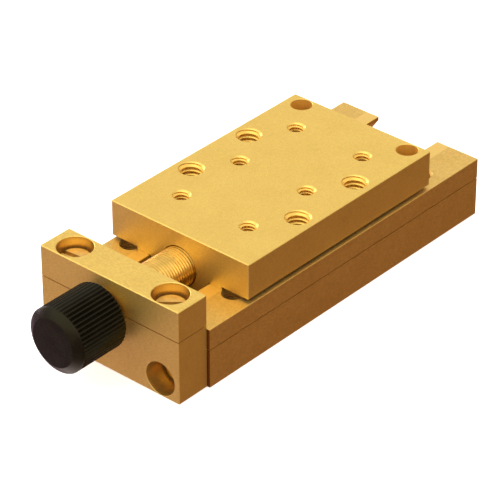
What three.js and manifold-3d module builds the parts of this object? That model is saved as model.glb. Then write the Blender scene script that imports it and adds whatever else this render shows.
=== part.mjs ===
// Dovetail linear slide: a brass carriage on two dovetail rails, moved by a fine-pitch leadscrew with a ribbed knob.
// Millimetres. X is across the slide, +Y runs along the leadscrew away from the knob, +Z is up.
// The origin is the middle of the base plate's underside.

import * as THREE from "three";
import { mergeVertices } from "three/addons/utils/BufferGeometryUtils.js";
import Module from "manifold-3d";

const wasm = await Module();
wasm.setup();

// ---------------------------------------------------------------------------
// Driving dimensions
// ---------------------------------------------------------------------------

const base = { width: 42.4, length: 95.5, thickness: 9.8 };

const rail = {
  throat: 18, // gap between the two rails at their top inner edges
  height: 5.4,
  flankAngle: THREE.MathUtils.degToRad(55),
  lip: 1, // upright land above each undercut flank
  rightInset: 0, // how far each rail stands inside the base plate's edge
  leftInset: 1.2,
};

const carriage = {
  width: 41,
  length: 64,
  thickness: 9.1,
  setback: 13.65, // from the base plate's front edge, at rest
  padWidth: 3.65, // strip that slides on each rail's top
  padDrop: 0.7, // how far the pads stand below the rest of the underside
  neckInset: 0.3, // dovetail neck inside the throat
  cornerRelief: 0.5, // groove above the rail's inner edge
  floorGap: 0.35, // dovetail foot above the base plate
  footLand: 0.5, // upright land that blunts the dovetail's foot
};

// Threads are modelled at the size that the fastener or tap leaves: holes at their core, screws at their crest.
const grid = {
  innerX: 10, // half the spacing of the small tapped holes
  outerX: 16, // half the spacing of the large tapped holes and the plain ones
  innerPitch: 20,
  outerPitch: 20,
};
const smallTap = { radius: 1.65, chamfer: 0.6, depth: 7 };
const largeTap = { radius: 2.5, chamfer: 0.65 };
const access = { radius: 2.6, fromRear: 3 };

// The bearing is split through the leadscrew's axis, which lies axisRise above the base plate.
const block = { width: 41, depth: 9.2, axisRise: 6.3, capHeight: 8 };

const screw = {
  threadRadius: 4.85,
  threadLength: 68,
  journalRadius: 4,
  collarRadius: 6.2,
  collarWidth: 3.4,
  knobShaftRadius: 3,
  tipChamfer: 0.8,
};

const washer = { inset: 0.2, thickness: 0.5 }; // inset: its rim inside the collar's

// The bronze nut is pressed into a pocket in the carriage's underside, between walls that take its thrust.
const nut = { wall: 1.2, length: 18, height: 12 }; // wall: what the dovetail's neck keeps on each side of it

const knob = {
  radius: 8,
  length: 15,
  standOff: 2.5, // between the bearing block and the knob's rear rim
  faceRadius: 5.9, // flat front, inside its bevel
  frontBevel: 1.6,
  rearBevel: 0.8,
  socketDepth: 11.5,
  shaftGap: 1.5, // between the shaft's end and the bottom of the socket
};
const bush = { radius: 4.75, projection: 2 };

// Slotted cheese-head screws: the head's top is sunk below the surface that it is entered from, in a
// counterbore that leaves headGap around it.
const capScrew = {
  x: 14.2, headRadius: 3.6, headHeight: 2.6, shankRadius: 2, length: 9,
  slotWidth: 1.2, slotDepth: 1.1, sunk: 2.6, headGap: 0.65,
};
const blockScrew = {
  x: 15, z: 4.5, headRadius: 3.6, headHeight: 2.6, shankRadius: 2, length: 12,
  slotWidth: 1.2, slotDepth: 1.1, sunk: 5.2, headGap: 0.6,
};
const railScrew = {
  headRadius: 2.75, headHeight: 2, shankRadius: 1.5, length: 8,
  slotWidth: 0.8, slotDepth: 0.9, sunk: 0.6, headGap: 0.35, fromMiddle: 16,
};
const knobScrew = { radius: 1.5, sunk: 0.95, socketRadius: 0.85, socketDepth: 1.6, fromRear: 6 };

const mounting = { radius: 2.1, chamfer: 0.25, x: 15.4, fromEnd: 14.2 };
const dowel = { radius: 1.25, length: 11, fromMiddle: 26, fromThroat: 7 };

const clearance = {
  slide: 0.03, // dovetail faces that slide on each other
  running: 0.06, // radial, around what turns
  thread: 0.3, // radial, around the leadscrew's thread in the carriage
  side: 0.05, // around a screw in its thread, a dowel in its hole, a nut in its pocket
  shank: 0.25, // radial, around a screw's shank in a plain hole
  end: 0.3, // past the tip of a screw or dowel, and beside what turns
};

const roundSides = 48; // facets round the parts that turn, and their bores
const holeSides = 24;
const overshoot = 1; // how far a cutting tool passes the face that it opens

// ---------------------------------------------------------------------------
// Places worked out from them
// ---------------------------------------------------------------------------

const front = -base.length / 2;
const railTop = base.thickness + rail.height;
const padBottom = railTop + clearance.slide;
const under = padBottom + carriage.padDrop;
const carriageTop = under + carriage.thickness;
const carriageFront = front + carriage.setback;
const carriageMiddle = carriageFront + carriage.length / 2;
const footBottom = base.thickness + carriage.floorGap;
const blockFront = front - block.depth;
const blockMiddle = front - block.depth / 2;
const axisHeight = base.thickness + block.axisRise;
const blockTop = axisHeight + block.capHeight;
const knobRear = blockFront - knob.standOff;
const knobFront = knobRear - knob.length;
const shaftFront = knobRear - knob.socketDepth + knob.shaftGap;
const neckHalf = rail.throat / 2 - carriage.neckInset;
const mountingY = base.length / 2 - mounting.fromEnd;

// ---------------------------------------------------------------------------
// Solids
// ---------------------------------------------------------------------------

function toSolid(geometry) {
  const bare = geometry.clone();
  bare.deleteAttribute("normal");
  bare.deleteAttribute("uv");
  const merged = mergeVertices(bare, 1e-4);
  return new wasm.Manifold(
    new wasm.Mesh({
      numProp: 3,
      vertProperties: new Float32Array(merged.attributes.position.array),
      triVerts: new Uint32Array(merged.index.array),
    }),
  );
}

function toGeometry(solid) {
  const mesh = solid.getMesh();
  const geometry = new THREE.BufferGeometry();
  geometry.setAttribute("position", new THREE.BufferAttribute(mesh.vertProperties, 3));
  geometry.setIndex(new THREE.BufferAttribute(mesh.triVerts, 1));
  geometry.computeVertexNormals();
  return geometry;
}

function cut(geometry, tools) {
  return toGeometry(tools.reduce((solid, tool) => solid.subtract(toSolid(tool)), toSolid(geometry)));
}

function box([x0, x1], [y0, y1], [z0, z1]) {
  const geometry = new THREE.BoxGeometry(x1 - x0, y1 - y0, z1 - z0);
  return geometry.translate((x0 + x1) / 2, (y0 + y1) / 2, (z0 + z1) / 2);
}

// A section of [x, z] corners, counter-clockwise as seen from -Y, drawn out from y0 to y1.
function drawn(section, y0, y1) {
  const shape = new THREE.Shape(section.map(([x, z]) => new THREE.Vector2(x, z)));
  const geometry = new THREE.ExtrudeGeometry(shape, { depth: y1 - y0, bevelEnabled: false });
  return geometry.rotateX(Math.PI / 2).translate(0, y1, 0);
}

// An outline of [radius, y] pairs with y rising, from the axis to the axis, turned about the Y axis.
function turnedY(outline, sides = roundSides) {
  return new THREE.LatheGeometry(outline.map(([r, y]) => new THREE.Vector2(r, y)), sides);
}

function turnedZ(outline, sides = holeSides) {
  return turnedY(outline, sides).rotateX(Math.PI / 2);
}

function rod(radius, from, to) {
  return [[0, from], [radius, from], [radius, to], [0, to]];
}

function postZ(radius, x, y, z0, z1) {
  return turnedZ(rod(radius, z0, z1)).translate(x, y, 0);
}

// A tapped hole going down from z: its core and the chamfer at its mouth.
function tappedHole(tap, x, y, top, bottom) {
  const mouth = tap.radius + tap.chamfer;
  const outline = [
    [0, bottom],
    [tap.radius, bottom],
    [tap.radius, top - tap.chamfer],
    [mouth, top],
    [mouth, top + overshoot],
    [0, top + overshoot],
  ];
  return turnedZ(outline).translate(x, y, 0);
}

// A cheese-head screw pointing down, with the top of its head at z = 0 and its slot along X.
function cheeseHead(spec) {
  const head = [
    [0, -spec.headHeight - spec.length],
    [spec.shankRadius, -spec.headHeight - spec.length],
    [spec.shankRadius, -spec.headHeight],
    [spec.headRadius, -spec.headHeight],
    [spec.headRadius, 0],
    [0, 0],
  ];
  const half = spec.slotWidth / 2;
  const reach = spec.headRadius + overshoot;
  return cut(turnedZ(head), [box([-reach, reach], [-half, half], [-spec.slotDepth, overshoot])]);
}

// What a cheese-head screw needs: a counterbore down to the head's seat, a plain hole through the first
// piece (down to grip below the face) and a threaded hole past the screw's tip, all pointing down from z = 0.
function screwBore(spec, grip) {
  const seat = -spec.sunk - spec.headHeight;
  const tip = seat - spec.length - clearance.end;
  const thread = spec.shankRadius + clearance.side;
  const plain = spec.shankRadius + clearance.shank;
  const bore = spec.headRadius + spec.headGap;
  const outline = [
    [0, tip],
    [thread, tip],
    [thread, -grip],
    [plain, -grip],
    [plain, seat],
    [bore, seat],
    [bore, overshoot],
    [0, overshoot],
  ];
  return turnedZ(outline);
}

// ---------------------------------------------------------------------------
// Materials
// ---------------------------------------------------------------------------

function brass(color = 0xd8b25e, roughness = 0.38) {
  return new THREE.MeshStandardMaterial({ color, roughness, metalness: 1 });
}

function bronze() {
  return new THREE.MeshStandardMaterial({ color: 0xa9713a, roughness: 0.45, metalness: 1 });
}

function steel() {
  return new THREE.MeshStandardMaterial({ color: 0x8d8f92, roughness: 0.35, metalness: 1 });
}

function blackPlastic() {
  return new THREE.MeshStandardMaterial({ color: 0x1b1815, roughness: 0.5, metalness: 0 });
}

const slide = new THREE.Group();

function add(name, geometry, material, [x, y, z] = [0, 0, 0], parent = slide) {
  const mesh = new THREE.Mesh(geometry, material);
  mesh.name = name;
  mesh.position.set(x, y, z);
  parent.add(mesh);
  return mesh;
}

const sides = [["left", -1], ["right", 1]];
const ends = [["front", -1], ["rear", 1]];

// ---------------------------------------------------------------------------
// Places of the fasteners, shared by the screws and by every piece that they pass through
// ---------------------------------------------------------------------------

const capScrews = sides.map(([name, side]) => ({
  name: `cap_screw_${name}`,
  place: [side * capScrew.x, blockMiddle, blockTop],
}));

const blockScrews = sides.map(([name, side]) => ({
  name: `block_screw_${name}`,
  place: [side * blockScrew.x, blockFront, blockScrew.z],
}));

const railScrews = sides.flatMap(([name, side]) =>
  ends.map(([end, along]) => ({
    name: `rail_screw_${name}_${end}`,
    side,
    place: [side * grid.outerX, along * railScrew.fromMiddle, railTop],
  })),
);

const dowels = ends.map(([end, along]) => ({
  name: `rail_dowel_${end}`,
  place: [rail.throat / 2 + dowel.fromThroat, along * dowel.fromMiddle, 0],
}));

function boresAt(screws, spec, grip) {
  return screws.map(({ place }) => screwBore(spec, grip).translate(...place));
}

const capBores = boresAt(capScrews, capScrew, block.capHeight);
const railBores = boresAt(railScrews, railScrew, rail.height);
const blockBores = blockScrews.map(({ place }) =>
  screwBore(blockScrew, block.depth).rotateX(Math.PI / 2).translate(...place),
);

const dowelHoles = dowels.map(({ place: [x, y] }) =>
  postZ(
    dowel.radius + clearance.side,
    x,
    y,
    railTop - dowel.length - clearance.end,
    railTop + overshoot,
  ),
);

// Tapped holes right through each rail and the base plate, chamfered at both mouths.
const mountingHoles = sides.flatMap(([, side]) =>
  ends.flatMap(([, along]) => {
    const down = tappedHole(mounting, 0, 0, railTop, -overshoot);
    const up = tappedHole(mounting, 0, 0, 0, -railTop).rotateX(Math.PI);
    return [down, up].map((tool) => tool.translate(side * mounting.x, along * mountingY, 0));
  }),
);

// ---------------------------------------------------------------------------
// Base plate and rails
// ---------------------------------------------------------------------------

function basePlate() {
  const plate = box(
    [-base.width / 2, base.width / 2],
    [-base.length / 2, base.length / 2],
    [0, base.thickness],
  );
  return cut(plate, [...railBores, ...blockBores, ...dowelHoles, ...mountingHoles]);
}

// A rail on the right: its inner face leans outwards below an upright lip.
function railSection(side, inset) {
  const inner = rail.throat / 2;
  const outer = base.width / 2 - inset;
  const lean = (rail.height - rail.lip) / Math.tan(rail.flankAngle);
  const section = [
    [inner + lean, base.thickness],
    [outer, base.thickness],
    [outer, railTop],
    [inner, railTop],
    [inner, railTop - rail.lip],
  ];
  return section.map(([x, z]) => [side * x, z]);
}

function dovetailRail(side, inset) {
  const body = drawn(railSection(side, inset), -base.length / 2, base.length / 2);
  return cut(body, [...railBores, ...dowelHoles, ...mountingHoles]);
}

add("base_plate", basePlate(), brass());
add("left_rail", dovetailRail(-1, rail.leftInset), brass());
add("right_rail", dovetailRail(1, rail.rightInset), brass());

for (const { name, place } of railScrews) {
  const [x, y, z] = place;
  add(name, cheeseHead(railScrew), brass(0xc79f52), [x, y, z - railScrew.sunk]);
}

for (const { name, place } of dowels) {
  add(name, postZ(dowel.radius, 0, 0, railTop - dowel.length, railTop), steel(), place);
}

// ---------------------------------------------------------------------------
// Split bearing block, which holds the leadscrew's collar
// ---------------------------------------------------------------------------

function bearingBore() {
  const bore = screw.journalRadius + clearance.running;
  const groove = screw.collarRadius + clearance.running;
  const half = screw.collarWidth / 2 + washer.thickness + 2 * clearance.running;
  const outline = [
    [0, blockFront - overshoot],
    [bore, blockFront - overshoot],
    [bore, blockMiddle - half],
    [groove, blockMiddle - half],
    [groove, blockMiddle + half],
    [bore, blockMiddle + half],
    [bore, front + overshoot],
    [0, front + overshoot],
  ];
  return turnedY(outline).translate(0, 0, axisHeight);
}

function bearingHalf(bottom, top) {
  const body = box([-block.width / 2, block.width / 2], [blockFront, front], [bottom, top]);
  return cut(body, [bearingBore(), ...capBores, ...blockBores]);
}

function thrustWasher() {
  const half = washer.thickness / 2;
  const hole = turnedY(rod(screw.journalRadius + clearance.running, -overshoot, overshoot));
  return cut(turnedY(rod(screw.collarRadius - washer.inset, -half, half)), [hole]);
}

add("bearing_block", bearingHalf(0, axisHeight), brass());
add("bearing_cap", bearingHalf(axisHeight, blockTop), brass());

for (const [end, along] of ends) {
  const offset = screw.collarWidth / 2 + clearance.running + washer.thickness / 2;
  add(`thrust_washer_${end}`, thrustWasher(), steel(), [0, blockMiddle + along * offset, axisHeight]);
}

const capSlotAngles = { cap_screw_left: 0.1, cap_screw_right: 0.72 };

for (const { name, place } of capScrews) {
  const [x, y, z] = place;
  const head = add(name, cheeseHead(capScrew), brass(0xc79f52), [x, y, z - capScrew.sunk]);
  head.rotation.z = capSlotAngles[name];
}

for (const { name, place } of blockScrews) {
  const [x, y, z] = place;
  const head = add(name, cheeseHead(blockScrew), brass(0xc79f52), [x, y + blockScrew.sunk, z]);
  head.rotation.x = Math.PI / 2;
}

// ---------------------------------------------------------------------------
// Carriage, with the nut in a pocket in its underside
// ---------------------------------------------------------------------------

function carriageSection() {
  const half = carriage.width / 2;
  const inner = rail.throat / 2;
  const padOuter = inner + carriage.padWidth;
  const reliefOuter = inner + carriage.neckInset;
  const slope = Math.tan(rail.flankAngle);
  const flankX = (z) =>
    inner + (railTop - rail.lip - z) / slope - clearance.slide / Math.sin(rail.flankAngle);
  const flankTop = railTop - rail.lip + (flankX(railTop - rail.lip) - neckHalf) * slope;
  const footTop = footBottom + carriage.footLand;
  const right = [
    [flankX(footTop), footBottom],
    [flankX(footTop), footTop],
    [neckHalf, flankTop],
    [neckHalf, padBottom + carriage.cornerRelief],
    [reliefOuter, padBottom + carriage.cornerRelief],
    [reliefOuter, padBottom],
    [padOuter, padBottom],
    [padOuter, under],
    [half, under],
    [half, carriageTop],
  ];
  const left = right.map(([x, z]) => [-x, z]).reverse();
  return [...right, ...left];
}

function nutPocket(gap) {
  const half = neckHalf - nut.wall + gap;
  return box(
    [-half, half],
    [carriageMiddle - nut.length / 2 - gap, carriageMiddle + nut.length / 2 + gap],
    [footBottom - (gap > 0 ? overshoot : 0), footBottom + nut.height + gap],
  );
}

function carriageHoles() {
  const through = under - overshoot - carriage.padDrop;
  const blind = carriageTop - smallTap.depth;
  const small = sides.flatMap(([, side]) =>
    [-1, 0, 1].map((row) =>
      tappedHole(
        smallTap,
        side * grid.innerX,
        carriageMiddle + row * grid.innerPitch,
        carriageTop,
        blind,
      ),
    ),
  );
  const large = sides.flatMap(([, side]) =>
    ends.map(([, along]) =>
      tappedHole(
        largeTap,
        side * grid.outerX,
        carriageMiddle + (along * grid.outerPitch) / 2,
        carriageTop,
        through,
      ),
    ),
  );
  const accessY = carriageFront + carriage.length - access.fromRear;
  const plain = sides.map(([, side]) =>
    postZ(access.radius, side * grid.outerX, accessY, through, carriageTop + overshoot),
  );
  return [...small, ...large, ...plain];
}

function carriageBody() {
  const carriageRear = carriageFront + carriage.length;
  const body = drawn(carriageSection(), carriageFront, carriageRear);
  const bore = turnedY(
    rod(screw.threadRadius + clearance.thread, carriageFront - overshoot, carriageRear + overshoot),
  ).translate(0, 0, axisHeight);
  return cut(body, [bore, nutPocket(clearance.side), ...carriageHoles()]);
}

function leadNut() {
  const reach = nut.length / 2 + overshoot;
  const bore = turnedY(
    rod(screw.threadRadius + clearance.running, carriageMiddle - reach, carriageMiddle + reach),
  ).translate(0, 0, axisHeight);
  return cut(nutPocket(0), [bore]);
}

add("carriage", carriageBody(), brass());
add("lead_nut", leadNut(), bronze());

// ---------------------------------------------------------------------------
// Leadscrew and knob
// ---------------------------------------------------------------------------

function leadscrew() {
  const halfCollar = screw.collarWidth / 2;
  const threadStart = front + clearance.end;
  const threadEnd = threadStart + screw.threadLength;
  const tipRadius = screw.threadRadius - screw.tipChamfer;
  const outline = [
    [0, shaftFront],
    [screw.knobShaftRadius, shaftFront],
    [screw.knobShaftRadius, blockFront],
    [screw.journalRadius, blockFront],
    [screw.journalRadius, blockMiddle - halfCollar],
    [screw.collarRadius, blockMiddle - halfCollar],
    [screw.collarRadius, blockMiddle + halfCollar],
    [screw.journalRadius, blockMiddle + halfCollar],
    [screw.journalRadius, threadStart],
    [screw.threadRadius, threadStart],
    [screw.threadRadius, threadEnd - screw.tipChamfer],
    [tipRadius, threadEnd],
    [0, threadEnd],
  ];
  return turnedY(outline);
}

function knobScrewHole(radius) {
  return postZ(radius, 0, knobRear - knobScrew.fromRear, -knob.radius - overshoot, 0);
}

function knobBody() {
  const outline = [
    [0, knobFront],
    [knob.faceRadius, knobFront],
    [knob.radius, knobFront + knob.frontBevel],
    [knob.radius, knobRear - knob.rearBevel],
    [knob.radius - knob.rearBevel, knobRear],
    [0, knobRear],
  ];
  const socket = turnedY(
    rod(bush.radius + clearance.side, knobRear - knob.socketDepth, knobRear + overshoot),
  );
  return cut(turnedY(outline), [socket, knobScrewHole(knobScrew.radius + clearance.shank)]);
}

function knobBush() {
  const bushFront = knobRear - knob.socketDepth + clearance.end;
  const body = turnedY(rod(bush.radius, bushFront, knobRear + bush.projection));
  const shaft = turnedY(
    rod(screw.knobShaftRadius + clearance.side, shaftFront - clearance.end, blockFront),
  );
  return cut(body, [shaft, knobScrewHole(knobScrew.radius + clearance.side)]);
}

function setScrew() {
  const tip = -screw.knobShaftRadius - clearance.side;
  const outer = -knob.radius + knobScrew.sunk;
  const outline = rod(knobScrew.radius, outer, tip);
  const socket = turnedZ(
    rod(knobScrew.socketRadius, outer - overshoot, outer + knobScrew.socketDepth),
    6,
  );
  return cut(turnedZ(outline), [socket]);
}

const turning = new THREE.Group();
turning.position.z = axisHeight;
slide.add(turning);

add("leadscrew", leadscrew(), brass(0xcf9a55, 0.3), [0, 0, 0], turning);
add("knob", knobBody(), blackPlastic(), [0, 0, 0], turning);
add("knob_bush", knobBush(), brass(), [0, 0, 0], turning);
add("knob_set_screw", setScrew(), steel(), [0, knobRear - knobScrew.fromRear, 0], turning);

export default slide;
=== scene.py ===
"""Visual model of a small brass dovetail slide: carriage, dovetail rails, leadscrew and ribbed knob.

Everything is in metres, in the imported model's frame: X across the slide, +Y along the leadscrew away
from the knob, +Z up. The file is laid out as an add-on and is run as a script.
"""

import math

import bmesh
import bpy
from bpy.props import FloatProperty, FloatVectorProperty, IntProperty, PointerProperty
from mathutils import Matrix, Vector


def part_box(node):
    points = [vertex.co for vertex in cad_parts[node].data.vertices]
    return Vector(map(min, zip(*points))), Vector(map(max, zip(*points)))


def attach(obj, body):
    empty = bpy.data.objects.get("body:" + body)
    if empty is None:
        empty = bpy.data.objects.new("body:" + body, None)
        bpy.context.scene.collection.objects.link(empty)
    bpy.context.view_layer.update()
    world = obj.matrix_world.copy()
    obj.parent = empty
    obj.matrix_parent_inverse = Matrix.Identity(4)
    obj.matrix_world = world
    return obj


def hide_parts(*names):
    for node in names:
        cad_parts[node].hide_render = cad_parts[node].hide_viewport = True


bl_info = {
    "name": "Dovetail Slide",
    "version": (1, 0, 0),
    "blender": (4, 5, 0),
    "location": "3D View > Sidebar > Slide",
    "description": "Builds the looks of a brass dovetail slide around its packed frame",
    "category": "Object",
}

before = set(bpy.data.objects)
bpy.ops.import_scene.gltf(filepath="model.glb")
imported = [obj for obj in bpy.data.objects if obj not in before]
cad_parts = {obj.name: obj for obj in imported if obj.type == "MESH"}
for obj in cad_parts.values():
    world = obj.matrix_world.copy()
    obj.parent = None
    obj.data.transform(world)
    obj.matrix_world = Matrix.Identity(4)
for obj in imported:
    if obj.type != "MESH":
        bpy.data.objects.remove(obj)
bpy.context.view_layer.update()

MM = 0.001
SIDES = 96  # facets round a visible bore or turned piece
SCREW_SIDES = 120  # round the leadscrew
SIDES_PER_RIB = 8  # round the knob
PAST = 1 * MM  # how far a cutting tool passes the face that it opens
END = 0.3 * MM  # room past the tip of a screw or pin
WELD = 1e-6  # points nearer to each other than this are the same point
SHARP_CORNER = math.radians(20)  # edges that turn by more than this can be chamfered
DRILL_POINT = math.radians(30)  # slope of a drill's point


def corners(node):
    low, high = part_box(node)
    return Vector(low), Vector(high)


BASE_LOW, BASE_HIGH = corners("base_plate")
RAIL_LOW, RAIL_HIGH = corners("right_rail")
LEFT_RAIL_LOW, _ = corners("left_rail")
CARRIAGE_LOW, CARRIAGE_HIGH = corners("carriage")
CARRIAGE_MIDDLE = (CARRIAGE_LOW + CARRIAGE_HIGH) / 2
BLOCK_LOW, BLOCK_HIGH = corners("bearing_block")
CAP_LOW, CAP_HIGH = corners("bearing_cap")
SCREW_LOW, SCREW_HIGH = corners("leadscrew")
KNOB_LOW, KNOB_HIGH = corners("knob")
BUSH_LOW, BUSH_HIGH = corners("knob_bush")
SET_LOW, SET_HIGH = corners("knob_set_screw")
AXIS_HEIGHT = CAP_LOW.z
CAP_SCREWS = ("cap_screw_left", "cap_screw_right")
BLOCK_SCREWS = ("block_screw_left", "block_screw_right")
RAIL_SCREWS = (
    "rail_screw_left_front", "rail_screw_left_rear", "rail_screw_right_front", "rail_screw_right_rear",
)
DOWELS = ("rail_dowel_front", "rail_dowel_rear")
WASHERS = ("thrust_washer_front", "thrust_washer_rear")


# Settings


def length(name, description, default, most=0.1):
    return FloatProperty(
        name=name, description=description, default=default * MM, min=0, max=most,
        unit="LENGTH", subtype="DISTANCE", precision=5,
    )


def colour(name, description, default):
    return FloatVectorProperty(
        name=name, description=description, default=default, size=3, min=0, max=1, subtype="COLOR",
    )


def fraction(name, description, default):
    return FloatProperty(
        name=name, description=description, default=default, min=0, max=1, subtype="FACTOR",
    )


def angle(name, description, default, **limits):
    return FloatProperty(
        name=name, description=description, default=default, subtype="ANGLE", unit="ROTATION", **limits,
    )


class SlideBodySizes(bpy.types.PropertyGroup):
    """Sizes of the milled brass pieces."""

    edge: length("Edge chamfer", "Broken outer edges", 0.17)
    rail_edge: length("Rail edge chamfer", "Broken edges of the rails and the base", 0.05)
    seam: length("Seam height", "Fine line that shows where two pieces meet", 0.26)
    seam_depth: length("Seam depth", "How deep that line goes", 0.6)
    mouth: length("Mouth chamfer", "Broken edges of plain holes", 0.12)
    flank_angle: angle("Flank angle", "Flank from the horizontal", math.radians(55), min=0.5, max=1.5)
    lip: length("Lip", "Upright land above each rail's flank", 1)
    pad_width: length("Pad width", "Strip of the carriage that slides on each rail", 3.65)
    pad_drop: length("Pad drop", "Pads below the rest of the carriage's underside", 0.7)
    neck_inset: length("Neck inset", "Dovetail neck inside the throat", 0.3)
    corner_relief: length("Corner relief", "Groove above each rail's inner edge", 0.12)
    foot_land: length("Foot land", "Upright land of the dovetail's foot", 0.5)
    slide_gap: length("Slide gap", "Clearance between the sliding faces", 0.03)
    screw_bore: length("Screw bore", "Radius of the hole along the carriage", 5.02)
    nut_gap: length("Nut gap", "Clearance round the nut in its pocket", 0.05)


class SlideHoleSizes(bpy.types.PropertyGroup):
    """Sizes of the drilled and tapped holes."""

    inner_x: length("Inner column", "Small tapped holes from the middle", 10)
    outer_x: length("Outer column", "Large tapped and plain holes from the middle", 16)
    pitch_y: length("Row pitch", "Distance between rows of holes", 20)
    small_core: length("Small core", "Core radius of the small threads", 1.65)
    small_crest: length("Small crest", "Crest radius of the small threads", 2.15)
    small_mouth: length("Small mouth", "Chamfer radius of the small holes", 2.25)
    small_pitch: length("Small pitch", "Thread pitch of the small holes", 0.8)
    small_depth: length("Small depth", "Depth of the small tapped holes", 7)
    large_core: length("Large core", "Core radius of the large threads", 2.5)
    large_crest: length("Large crest", "Crest radius of the large threads", 3.1)
    large_mouth: length("Large mouth", "Chamfer radius of the large holes", 3.15)
    large_pitch: length("Large pitch", "Thread pitch of the large holes", 1.1)
    plain_radius: length("Plain hole", "Radius of the plain holes", 2.6)
    plain_edge: length("Plain hole edge", "Plain holes from the carriage's far edge", 3)
    mounting_core: length("Mounting core", "Core radius of the base's tapped holes", 2.1)
    mounting_crest: length("Mounting crest", "Crest radius of the base's tapped holes", 2.45)
    mounting_mouth: length("Mounting mouth", "Chamfer radius of the base's tapped holes", 2.6)
    mounting_pitch: length("Mounting pitch", "Thread pitch of the base's tapped holes", 0.8)
    mounting_x: length("Mounting column", "Base's tapped holes from the middle", 15.4)
    mounting_end: length("Mounting end", "Base's tapped holes from each end", 14.2)
    cap_gap: length("Cap counterbore gap", "Round each cap screw's head", 0.65)
    block_gap: length("Block counterbore gap", "Round each block screw's head", 0.6)
    rail_gap: length("Rail counterbore gap", "Round each rail screw's head", 0.35)
    running_gap: length("Running gap", "Round what turns", 0.06)
    feed: length("Feed", "Half the spacing of the rings in a counterbore", 0.3)
    feed_depth: length("Feed depth", "Depth of the rings in a counterbore", 0.05)


class SlideScrewSizes(bpy.types.PropertyGroup):
    """Sizes of the screws, the leadscrew and the knob."""

    big_head: length("Big head height", "Head height of the cap and block screws", 2.6)
    big_shank: length("Big shank", "Shank radius of the cap and block screws", 2)
    big_slot: length("Big slot width", "Slot width of the cap and block screws", 1.2)
    big_slot_depth: length("Big slot depth", "Slot depth of the cap and block screws", 1.1)
    rail_head: length("Rail head height", "Head height of the rail screws", 2)
    rail_shank: length("Rail shank", "Shank radius of the rail screws", 1.5)
    rail_slot: length("Rail slot width", "Slot width of the rail screws", 0.8)
    rail_slot_depth: length("Rail slot depth", "Slot depth of the rail screws", 0.9)
    head_chamfer: length("Head chamfer", "Broken edge of every screw head", 0.2)
    thread_radius: length("Leadscrew radius", "Crest radius of the leadscrew's thread", 4.85)
    thread_depth: length("Thread depth", "Depth of the leadscrew's thread", 0.09)
    thread_pitch: length("Thread pitch", "Pitch of the leadscrew", 0.75)
    thread_gap: length("Thread gap", "Thread's start from the base plate's edge", 0.3)
    tip_chamfer: length("Tip chamfer", "Chamfer of the leadscrew's far end", 0.8)
    collar_width: length("Collar width", "Width of the leadscrew's thrust collar", 3.4)
    washer_room: length("Washer room", "Groove beyond the collar on each side", 0.62)
    journal: length("Journal", "Radius of the leadscrew's journal", 4)
    knob_shaft: length("Knob shaft", "Radius of the shaft under the knob", 3)
    rib_count: IntProperty(name="Ribs", description="Ribs round the knob", default=48, min=12, max=120)
    rib_depth: length("Rib depth", "Depth of the grooves between ribs", 0.5)
    knob_face: length("Knob face", "Radius of the knob's flat front", 5.8)
    front_bevel: length("Front bevel", "Length of the bevel round the knob's front", 1.6)
    bevel_ease: length("Bevel ease", "Rounding of the front bevel's own edges", 0.3)
    rib_runout: length("Rib runout", "Over which each groove reaches its depth", 0.25)
    rear_bevel: length("Rear bevel", "Rounded rear edge of the knob", 0.8)
    socket_radius: length("Knob socket", "Radius of the knob's socket", 4.8)
    socket_depth: length("Socket depth", "Depth of the knob's socket", 11.5)
    set_socket: length("Set screw socket", "Across the corners of the set screw's socket", 1.7)
    set_depth: length("Set screw socket depth", "Depth of the set screw's socket", 1.6)
    left_slot: angle("Left slot", "Turn of the left cap screw's slot", 0.1)
    right_slot: angle("Right slot", "Turn of the right cap screw's slot", 0.72)


class SlideFinish(bpy.types.PropertyGroup):
    """Colours and finishes."""

    brass: colour("Brass", "Ground brass", (0.88, 0.62, 0.16))
    brass_dark: colour("Brass tarnish", "Slightly tarnished patches", (0.82, 0.56, 0.135))
    rail_brass: colour("Rail brass", "Rails and base, a little more worn", (0.82, 0.555, 0.16))
    rail_dark: colour("Rail tarnish", "Tarnished patches of the rails and base", (0.745, 0.475, 0.12))
    # Painted light: a warmer, brighter copy of the brass, painted on the carriage's hole walls and
    # underside.
    tapped: colour("Tapped holes", "Inside the carriage's holes", (0.94, 0.6, 0.12))
    # Painted shade: a dark colour painted under the carriage's overhang and on the rails' and base's end
    # faces in the crease against the block.
    painted_shade: colour("Old oil", "What dulls the carriage's underside", (0.2, 0.08, 0.012))
    # Painted shade: a darker copy of the brass, painted in the block's counterbores and, darker still, on
    # the screws sunk in them.
    bored: colour("Counterbores", "Inside the block's counterbores", (0.77, 0.47, 0.1))
    screw: colour("Screw brass", "Turned screws", (0.84, 0.6, 0.22))
    leadscrew: colour("Leadscrew brass", "Leadscrew", (0.88, 0.56, 0.13))
    bronze: colour("Bronze", "Lead nut", (0.5, 0.26, 0.09))
    steel: colour("Steel", "Pins and washers", (0.5, 0.5, 0.52))
    plastic: colour("Plastic", "Black knob", (0.004, 0.003, 0.0015))
    floor: colour("Floor", "Floor under the slide", (0.93, 0.93, 0.93))
    roughness: fraction("Brass roughness", "Roughness of the ground faces", 0.5)


class SlideView(bpy.types.PropertyGroup):
    """The camera."""

    azimuth: angle("Azimuth", "Camera's turn round the slide", math.radians(41.06))
    elevation: angle("Elevation", "Camera's height angle", math.radians(32.78))
    distance: length("Distance", "Camera from its target", 666.2, 10)
    target: FloatVectorProperty(
        name="Target", description="Point that the camera looks at",
        default=(2.1 * MM, -12.49 * MM, 10.7 * MM), size=3, subtype="TRANSLATION", unit="LENGTH",
    )
    lens: FloatProperty(
        name="Lens", description="Focal length in millimetres", default=210.3, min=10, max=1000,
        unit="CAMERA",
    )


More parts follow.
